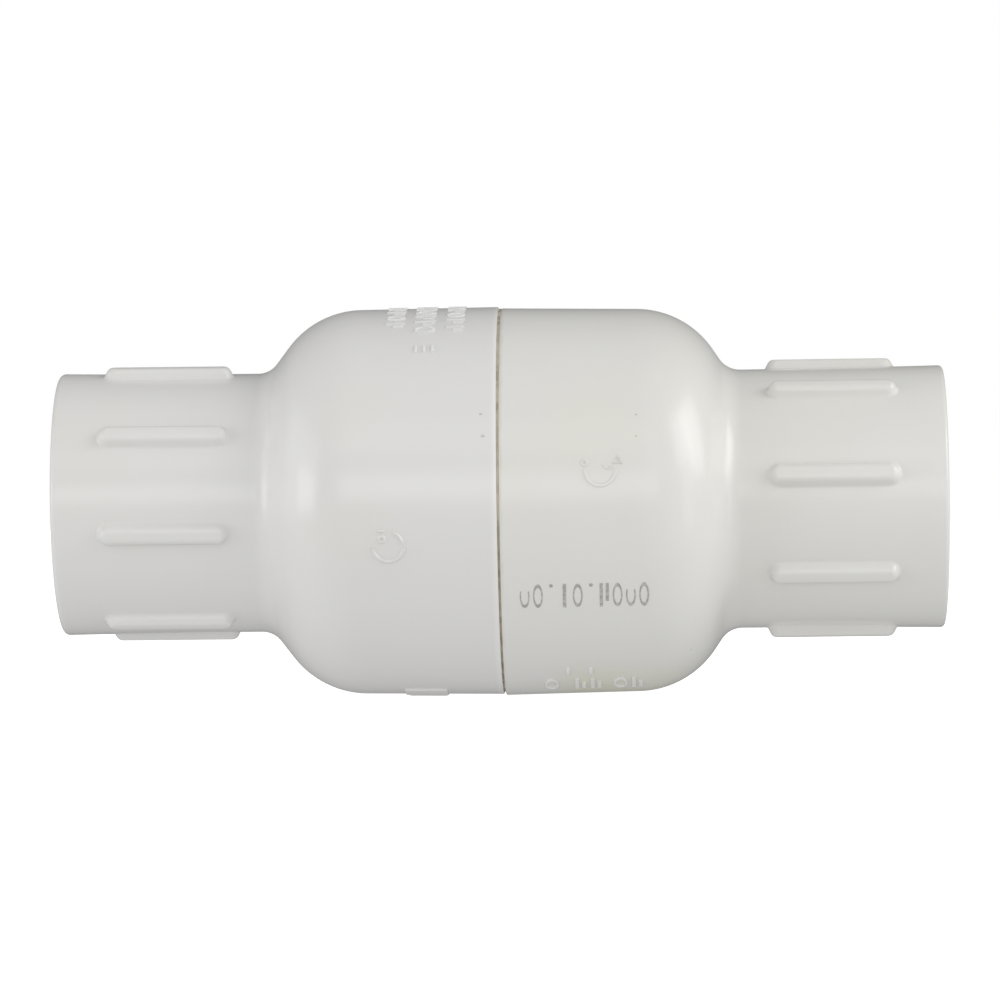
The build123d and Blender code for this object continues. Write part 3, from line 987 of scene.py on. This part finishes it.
@dataclass
class Sticker:
    """A mark drawn flat, in millimetres, and then wrapped onto the barrel."""

    x: float
    bearing: float
    height: float = 0.3
    sink: float = 0.25
    edge: float = 0.08

    def bar(self, bm: bmesh.types.BMesh, length: float, width: float, at: Point = (0, 0)) -> None:
        """Add a straight bar with rounded upper edges.

        Args:
            bm: the flat mesh that takes it.
            length: its size along the flow axis.
            width: its size round the barrel.
            at: its centre, as (along, round).
        """
        verts = bmesh.ops.create_cube(bm, size=1.0)["verts"]
        depth = self.height + self.sink
        bmesh.ops.scale(bm, verts=verts, vec=(length, width, depth))
        bmesh.ops.translate(bm, verts=verts, vec=(0, 0, self.height - depth / 2))
        upper = [e for e in bm.edges if e.verts[0] in verts and all(v.co.z > 0 for v in e.verts)]
        upright = [e for e in bm.edges if e.verts[0] in verts and self.is_upright(e)]
        made = bmesh.ops.bevel(
            bm,
            geom=upper + upright,
            offset=min(self.edge, length / 3, width / 3),
            segments=2,
            profile=0.5,
            affect="EDGES",
            material=-1,
        )
        verts = list({v for v in verts if v.is_valid} | set(made["verts"]))
        bmesh.ops.translate(bm, verts=verts, vec=(*at, 0))

    @staticmethod
    def is_upright(edge: bmesh.types.BMEdge) -> bool:
        """Whether an edge of a flat mark runs from its foot to its top."""
        low, high = sorted(v.co.z for v in edge.verts)
        return low < 0 < high

    def ring(
        self,
        bm: bmesh.types.BMesh,
        reach: Point,
        stroke: float,
        at: Point = (0, 0),
        start_deg: float = 0.0,
        sweep_deg: float = 360.0,
        steps: int = 32,
    ) -> None:
        """Add a ring or a part of one with rounded upper edges.

        Args:
            bm: the flat mesh that takes it.
            reach: its outer half sizes along the flow axis and round the barrel.
            stroke: how wide its line is.
            at: its centre, as (along, round).
            start_deg: where it starts, from downstream towards the top.
            sweep_deg: how far it goes.
            steps: chords along it; 3 make a triangle.
        """
        outer, inner, cut = 1.0, 1.0 - stroke / max(reach), min(self.edge, stroke / 3)
        slant = cut / max(reach)
        section = [(inner, -self.sink), (inner, self.height - cut), (inner + slant, self.height)]
        section += [(outer - slant, self.height), (outer, self.height - cut), (outer, -self.sink)]
        before = set(bm.verts)
        verts = [bm.verts.new((r, 0, h)) for r, h in section]
        bmesh.ops.rotate(bm, verts=verts, matrix=Matrix.Rotation(math.radians(start_deg), 3, "Z"))
        sweep(bm, verts, (0, 0, 1), math.radians(sweep_deg), steps)
        fresh = [v for v in bm.verts if v not in before]
        bmesh.ops.scale(bm, verts=fresh, vec=(reach[0], reach[1], 1))
        bmesh.ops.translate(bm, verts=fresh, vec=(*at, 0))

    def slab(
        self,
        bm: bmesh.types.BMesh,
        length: float,
        width: float,
        at: Point = (0, 0),
        tip: float = 1.0,
    ) -> None:
        """Add a wide, finely divided plate that can taper downstream.

        Args:
            bm: the flat mesh that takes it.
            length: its size along the flow axis.
            width: its size round the barrel, upstream.
            at: its centre, as (along, round).
            tip: its width downstream, as a share of that upstream.
        """
        verts = bmesh.ops.create_grid(bm, x_segments=8, y_segments=10, size=0.5)["verts"]
        for vert in verts:
            vert.co.y *= 1 + (tip - 1) * (vert.co.x + 0.5)
        bmesh.ops.scale(bm, verts=verts, vec=(length, width, 1))
        bmesh.ops.translate(bm, verts=verts, vec=(*at, self.height))
        faces = list({face for vert in verts for face in vert.link_faces})
        made = bmesh.ops.extrude_face_region(bm, geom=faces, use_keep_orig=True)
        moved = [part for part in made["geom"] if isinstance(part, bmesh.types.BMVert)]
        bmesh.ops.translate(bm, verts=moved, vec=(0, 0, -self.height - self.sink))
        bmesh.ops.remove_doubles(bm, verts=bm.verts, dist=1e-5)

    def wrap(self, bm: bmesh.types.BMesh) -> None:
        """Bend the flat mesh onto the barrel.

        Args:
            bm: the flat mesh, in millimetres; it ends in metres and in place.
        """
        bmesh.ops.recalc_face_normals(bm, faces=bm.faces)
        for vert in bm.verts:
            x = self.x + vert.co.x
            skin = SKINS[Side.INLET if self.x < 0 else Side.OUTLET]
            bearing = self.bearing + math.degrees(vert.co.y / skin.at(x))
            vert.co = skin.settle(at_bearing(x * MM, (skin.at(x) + vert.co.z) * MM, bearing))

    @contextmanager
    def onto(self, bm: bmesh.types.BMesh) -> Iterator[bmesh.types.BMesh]:
        """Wrap what is drawn meanwhile onto the barrel, and add it to a mesh.

        Args:
            bm: the mesh that takes it, in metres.

        Yields:
            The flat mesh to draw on, in millimetres.
        """
        flat = bmesh.new()
        yield flat
        self.wrap(flat)
        merge(bm, flat)


@dataclass
class Marks:
    """The raised marks, the gate marks and the printed batch row of both halves."""

    inlet_pvc: bpy.types.Material
    outlet_pvc: bpy.types.Material
    # painted highlight: the raised marks' finish is a lighter copy of the body's PVC, standing in
    # for the light that their tops and edges catch
    relief_pvc_painted_highlight: bpy.types.Material
    inlet_gate: Point = (-23.4, -13.0)
    outlet_gate: Point = (22.2, 8.9)
    print_x: float = 5.7
    print_pitch: float = 2.85
    print_bearing: float = -28.6

    def size_marks(self) -> None:
        """Raise three columns of size marks over the top of the inlet half."""
        bm = bmesh.new()
        last_bearing, stroke = 118, 0.6
        columns = ((-22.1, 4.2, 5.6, 64.5), (-15.6, 4.6, 4.6, 61.0), (-9.0, 4.0, 5.4, 61.5))
        for column, (x, length, pitch, low) in enumerate(columns):
            for step in range(int((last_bearing - low) / pitch)):
                sticker = Sticker(x, low + step * pitch)
                with sticker.onto(bm) as flat:
                    if (step + column) % 3 == 1:
                        sticker.ring(flat, (length / 2, 1.25), 0.55)
                    else:
                        sticker.bar(flat, length, stroke, (0, 0.8))
                        sticker.bar(flat, length * 0.55, stroke, (length * 0.15, -0.7))
        for x in (-17.4, -15.6, -13.8):
            sticker = Sticker(x, 50.7)
            with sticker.onto(bm) as flat:
                sticker.bar(flat, stroke, 2.4)
        finish_piece(bm, "size_marks", self.relief_pvc_painted_highlight)

    def arrow(self) -> None:
        """Raise the flow arrow, its pad first, under the inlet half."""
        bm = bmesh.new()
        for x, height, length, width, tip in (
            (-17.0, 0.3, 9.2, 21.0, 1.0),
            (-18.6, 0.5, 4.6, 2.2, 1.0),
            (-14.6, 0.5, 3.8, 6.0, 0.02),
        ):
            sticker = Sticker(x, -90.0, height)
            with sticker.onto(bm) as flat:
                sticker.slab(flat, length, width, tip=tip)
        finish_piece(bm, "flow_arrow", self.relief_pvc_painted_highlight)

    def batch_marks(self) -> None:
        """Raise two rows of batch marks low on the outlet half."""
        bm = bmesh.new()
        for x in (14.6, 19.6):
            sticker = Sticker(x, -60.6)
            with sticker.onto(bm) as flat:
                sticker.bar(flat, 0.8, 3.4)
        for x, is_loop in ((11.0, True), (17.2, False), (20.6, False), (26.0, True), (29.6, False)):
            sticker = Sticker(x, -70.0)
            with sticker.onto(bm) as flat:
                if is_loop:
                    sticker.ring(flat, (1.5, 3.2), 0.8)
                else:
                    sticker.slab(flat, 0.8, 6.2, (-0.7, 0))
                    sticker.slab(flat, 0.8, 3.4, (0.8, -1.0))
        finish_piece(bm, "batch_marks", self.relief_pvc_painted_highlight)

    def inlet_gate_mark(self) -> None:
        """Raise the inlet half's gate mark: a low ring, strongest round its lower half."""
        bm = bmesh.new()
        sticker = Sticker(*self.inlet_gate, height=0.26, edge=0.3)
        sticker.ring(bm, (3.9, 3.9), 1.0, start_deg=186, sweep_deg=168)
        sticker.ring(bm, (3.6, 3.6), 0.9, start_deg=10, sweep_deg=62, steps=12)
        sticker.ring(bm, (1.0, 1.0), 0.8, at=(-1.3, 1.5))
        sticker.bar(bm, 1.9, 0.6, (-1.4, 3.3))
        sticker.wrap(bm)
        finish_piece(bm, "inlet_gate_mark", self.inlet_pvc)

    def outlet_gate_mark(self) -> None:
        """Raise the outlet half's fainter gate mark, with a small triangle beside it."""
        bm = bmesh.new()
        sticker = Sticker(*self.outlet_gate, height=0.2, edge=0.22)
        sticker.ring(bm, (3.7, 3.8), 0.9, start_deg=178, sweep_deg=184)
        sticker.ring(bm, (0.9, 0.9), 0.7, at=(-3.4, 1.6), steps=16)
        sticker.ring(bm, (1.3, 1.2), 0.7, at=(1.7, 1.2), start_deg=190, sweep_deg=140, steps=12)
        sticker.ring(bm, (1.3, 1.3), 0.5, at=(3.7, 1.9), start_deg=90, steps=3)
        sticker.wrap(bm)
        finish_piece(bm, "outlet_gate_mark", self.outlet_pvc)

    def batch_print(self) -> None:
        """Print the row on the outlet half: plain loops, strokes and dots in three groups."""
        bm = bmesh.new()
        tall = 2.9
        for place, glyph in enumerate("UO.IO.HOUO"):
            x = self.print_x + place * self.print_pitch
            ink = Sticker(x, self.print_bearing, height=0.02, sink=0.05, edge=0.004)
            with ink.onto(bm) as flat:
                if glyph == "O":
                    ink.ring(flat, (1.05, tall), 0.85)
                elif glyph == "U":
                    ink.ring(flat, (1.05, tall), 0.85, start_deg=150, sweep_deg=240)
                elif glyph == ".":
                    ink.ring(flat, (0.42, 0.42), 0.36, (0, tall - 0.4), steps=12)
                elif glyph == "I":
                    ink.slab(flat, 0.75, 2 * tall)
                else:
                    ink.slab(flat, 0.7, 2 * tall, (-0.65, 0))
                    ink.slab(flat, 0.7, 1.5 * tall, (0.65, 0.25 * tall))
        finish_piece(bm, "batch_print", InkFinish().material())

    def specks(self) -> None:
        """Lay a few pinhead flecks of dirt in the skin."""
        bm = bmesh.new()
        spots = ((-3.2, 25.7, 0.3), (-2.8, 18.9, 0.35), (30.0, 25.7, 0.22), (30.0, 18.9, 0.22))
        for x, bearing, size in spots:
            with Sticker(x, bearing).onto(bm) as flat:
                bmesh.ops.create_icosphere(flat, subdivisions=2, radius=1.0)
                bmesh.ops.scale(flat, verts=flat.verts, vec=(size * 1.3, size, 0.03))
        dirt = InkFinish("skin_fleck", (0.56, 0.54, 0.49), (0.68, 0.66, 0.61)).material()
        finish_piece(bm, "skin_flecks", dirt)

    def build(self) -> None:
        """Build every mark as a piece of its own."""
        self.size_marks()
        self.arrow()
        self.batch_marks()
        self.inlet_gate_mark()
        self.outlet_gate_mark()
        self.batch_print()
        self.specks()


@dataclass
class ClosingSpring:
    """The compression spring between the poppet and the cage, with closed ends."""

    front: float = -30.5
    back: float = -4.8
    mean_r: float = 9.0
    wire_r: float = 0.5
    turns: float = 7.5
    travel: float = 13.0
    end_turns: float = 0.9
    ramp: float = 0.5
    steps_per_turn: int = 48

    @property
    def rise(self) -> float:
        """How far the wire's centre travels along the axis."""
        return self.back - self.front - 2 * self.wire_r

    @property
    def closed_pitch(self) -> float:
        """The pitch of the end turns, which all but touch."""
        return 2.04 * self.wire_r

    @property
    def open_pitch(self) -> float:
        """The pitch of the working turns."""
        ends = (2 * self.end_turns + self.ramp) * self.closed_pitch
        return (self.rise - ends) / (self.turns - 2 * self.end_turns - self.ramp)

    def advance(self, turn: float) -> float:
        """How far along the axis the wire's centre is.

        Args:
            turn: how many turns it has made.

        Returns:
            The distance, in millimetres.
        """
        closed, pitch = self.closed_pitch, self.open_pitch
        if turn > self.turns / 2:
            return self.rise - self.advance(self.turns - turn)
        total = min(turn, self.end_turns) * closed
        ramped = min(max(turn - self.end_turns, 0.0), self.ramp)
        total += ramped * closed + (pitch - closed) * ramped**2 / (2 * self.ramp)
        return total + max(turn - self.end_turns - self.ramp, 0.0) * pitch

    def build(self) -> bpy.types.Object:
        """Wind the spring evenly and move its turns in place.

        Returns:
            The piece.
        """
        bm = bmesh.new()
        start, pitch, sides = self.front + self.wire_r, 3 * self.wire_r, 12
        wire = arc((start, self.mean_r), self.wire_r, 0, 360, sides)[:-1]
        verts = [bm.verts.new((x * MM, 0.0, radius * MM)) for x, radius in wire]
        rise, steps = pitch * self.turns * MM, int(self.turns * self.steps_per_turn)
        sweep(bm, verts, (1, 0, 0), math.tau * self.turns, steps, rise)
        for vert in bm.verts:
            share = -math.atan2(vert.co.y, vert.co.z) / math.tau
            along = (vert.co.x / MM - start) / pitch
            turn = min(max(share + round(along - share), 0.0), self.turns)
            vert.co.x += (self.advance(turn) - pitch * turn) * MM
        bmesh.ops.recalc_face_normals(bm, faces=bm.faces)
        steel = SteelFinish("spring_steel", roughness=0.2).material()
        piece = finish_piece(bm, "closing_spring", steel, sharp_deg=60)
        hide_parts("spring")
        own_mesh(piece)
        return piece


@dataclass(frozen=True)
class Internals:
    """The cage and the poppet's parts, which keep their plain solids and get their finishes."""

    acetal: PlasticFinish = PlasticFinish(
        "black_acetal", (0.025, 0.025, 0.027), (0.06, 0.06, 0.062)
    )
    cage_pvc: PlasticFinish = PlasticFinish(
        "grey_cage_pvc", (0.33, 0.34, 0.345), (0.42, 0.43, 0.43), 0.42
    )
    rubber: RubberFinish = RubberFinish()
    steel: SteelFinish = SteelFinish("turned_steel")

    def dress(self) -> None:
        """Give every inner solid its finish."""
        for finish, names in (
            (self.cage_pvc, ("guide_cage",)),
            (self.acetal, ("poppet", "seal_retainer")),
            (self.rubber, ("poppet_seal",)),
            (self.steel, ("spring_washer", "retainer_washer", "retainer_screw")),
        ):
            material = finish.material()
            for name in names:
                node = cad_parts[name]
                node.data.materials.clear()
                node.data.materials.append(material)
                LOG.info("%s: dressed in %s", name, material.name)


# ---------------------------------------------------------------------------------- studio


@dataclass(frozen=True)
class Softbox:
    """A soft light that faces the valve.

    Attributes:
        name: the light's name.
        azimuth: degrees from the camera's side towards the outlet.
        elevation: degrees above the flow axis.
        reach: how far away it is, in metres.
        size: its width and height, in metres.
        power: its power, in watts.
    """

    name: str
    azimuth: float
    elevation: float
    reach: float
    size: Point
    power: float

    def hang(self) -> None:
        """Put the light in the scene."""
        data = bpy.data.lights.new(self.name, "AREA")
        data.shape = "RECTANGLE"
        data.size, data.size_y = self.size
        data.energy = self.power
        light = bpy.data.objects.new(self.name, data)
        bpy.context.scene.collection.objects.link(light)
        turn, rise = math.radians(self.azimuth), math.radians(self.elevation)
        level = math.cos(rise)
        place = Vector((math.sin(turn) * level, -math.cos(turn) * level, math.sin(rise)))
        facing = (-place).to_track_quat("-Z", "Y").to_matrix().to_4x4()
        light.matrix_world = Matrix.Translation(place * self.reach) @ facing


@dataclass
class Studio:
    """The camera, the pale floor and the soft lights; the glows are the room's own light."""

    distance: float = 1.225
    lens: float = 199.15
    yaw_deg: float = 1.54
    roll_deg: float = 0.56
    aim: tuple[float, float, float] = (-0.00039, 0.0, 0.0001)
    floor_glow: float = 0.75
    ambient: float = 0.42
    left_glow: float = 0.204
    right_glow: float = 0.179
    front_glow: float = 0.088
    below_glow: float = 0.205
    dark_behind: float = 0.3
    boxes: tuple[Softbox, ...] = (
        Softbox("left_box", -67, 5, 1.6, (0.7, 0.5), 1.9),
        Softbox("left_wide", -80, 14, 1.6, (1.5, 1.1), 3.8),
        Softbox("right_box", 65, 30, 1.6, (0.6, 0.75), 3.6),
        Softbox("right_low", 65, 2, 1.6, (0.4, 0.8), 0.9),
        Softbox("right_rim", 83, 26, 1.6, (0.6, 0.9), 4.6),
        Softbox("front_strip", 0, 8.5, 1.9, (1.8, 0.48), 4.0),
        Softbox("front_high", 0, 38, 1.9, (1.8, 0.6), 1.5),
    )

    def camera(self) -> None:
        """Stand the camera level with the valve and a little towards its outlet."""
        data = bpy.data.cameras.new("camera")
        data.lens = self.lens
        data.sensor_width = 36.0
        data.clip_end = 50.0
        camera = bpy.data.objects.new("camera", data)
        bpy.context.scene.collection.objects.link(camera)
        yaw = math.radians(self.yaw_deg)
        aim = Vector(self.aim)
        eye = aim + Vector((math.sin(yaw), -math.cos(yaw), 0)) * self.distance
        turn = (aim - eye).to_track_quat("-Z", "Y").to_matrix().to_4x4()
        roll = Matrix.Rotation(math.radians(-self.roll_deg), 4, "Z")
        camera.matrix_world = Matrix.Translation(eye) @ turn @ roll
        bpy.context.scene.camera = camera

    def floor(self) -> None:
        """Lay a plain, nearly white floor under the valve."""
        bm = bmesh.new()
        bmesh.ops.create_grid(bm, x_segments=1, y_segments=1, size=8.0)
        bmesh.ops.translate(bm, verts=bm.verts, vec=(0, 0, CAD_BOX[0].z - 0.2 * MM))
        mesh = bpy.data.meshes.new("floor")
        bm.to_mesh(mesh)
        bm.free()
        floor = bpy.data.objects.new("floor", mesh)
        bpy.context.scene.collection.objects.link(floor)
        material, g = new_graph("floor_white")
        cloud = g.math("MULTIPLY_ADD", g.noise(3.0, 2.0), 0.02, 0.9)
        white = g.add("CombineColor", {0: cloud, 1: cloud, 2: cloud}).outputs[0]
        sockets = {"Base Color": white, "Roughness": 0.9, "Emission Color": (1, 1, 1, 1)}
        close_graph(g, sockets | {"Emission Strength": self.floor_glow})
        mesh.materials.append(material)
        floor.visible_diffuse = False
        floor.visible_glossy = False
        floor.visible_shadow = False

    def world(self) -> None:
        """Fill the room with soft light, brighter at the sides and in front than behind."""
        world = bpy.data.worlds.new("studio")
        bpy.context.scene.world = world
        world.use_nodes = True
        g = Graph(world.node_tree)
        direction = g.add("TexCoord").outputs["Generated"]
        x, y, z = g.add("SeparateXYZ", {0: direction}).outputs
        level = self.ambient
        for part, sign, strength in (
            (x, -1, self.left_glow),
            (x, 1, self.right_glow),
            (y, -1, self.front_glow),
            (z, -1, self.below_glow),
        ):
            share = g.math("MAXIMUM", g.math("MULTIPLY", part, sign), 0.0)
            level = g.math("MULTIPLY_ADD", share, strength, level)
        behind = g.math("MAXIMUM", y, 0.0)
        level = g.math("MULTIPLY_ADD", behind, -self.dark_behind, level)
        seen = g.add("LightPath").outputs["Is Camera Ray"]
        level = g.math("MAXIMUM", level, seen)
        back = g.add("Background", {"Strength": level, "Color": (1.0, 1.0, 1.0, 1.0)})
        g.add("OutputWorld", {"Surface": back.outputs[0]})

    def build(self) -> None:
        """Set up everything that isn't the valve."""
        self.camera()
        self.floor()
        self.world()
        for box in self.boxes:
            box.hang()
        view = bpy.context.scene.view_settings
        view.view_transform = "Standard"


def main() -> None:
    """Build the valve's pieces and the studio, and report each one."""
    logging.basicConfig(level=logging.INFO, format="%(name)s %(message)s")
    # The inlet's finish carries a painted highlight along its joint lip.
    inlet_pvc = PvcFinish(
        "inlet_white_pvc", (0.80, 0.795, 0.78), (0.79, 0.78, 0.745), lip_painted_highlight=True
    ).material()
    outlet_pvc = PvcFinish(
        "outlet_white_pvc", (0.80, 0.795, 0.768), (0.79, 0.78, 0.725), warm_share=0.55, stain=True
    ).material()
    # Painted highlight: a lighter copy of the body's PVC for the raised marks, standing in for the
    # light that their tops and edges catch.
    relief_pvc_painted_highlight = PvcFinish(
        "raised_pvc_painted_highlight", (0.87, 0.865, 0.85), (0.85, 0.84, 0.80), roughness=0.3
    ).material()
    inlet_ribs = (-13.4, 30.4, 76.9, 120.2, 165.2, -149.8, -100.8, -61.9)
    outlet_ribs = (10.2, 54.3, 95.9, 144.9, -170.1, -125.1, -83.6, -34.4)
    BodyHalf(Side.INLET, inlet_ribs, inlet_pvc, HALF_LENGTH - 0.19).build()
    BodyHalf(
        Side.OUTLET,
        outlet_ribs,
        outlet_pvc,
        dome_start=30.3,
        slope_deg=56.1,
        neck_r=28.55,
        rib_start=58.75,
        rim_fillet=0.9,
    ).build()
    CementBead().build()
    Marks(inlet_pvc, outlet_pvc, relief_pvc_painted_highlight).build()
    ClosingSpring().build()
    Internals().dress()
    Studio().build()


if __name__ == "__main__":
    main()
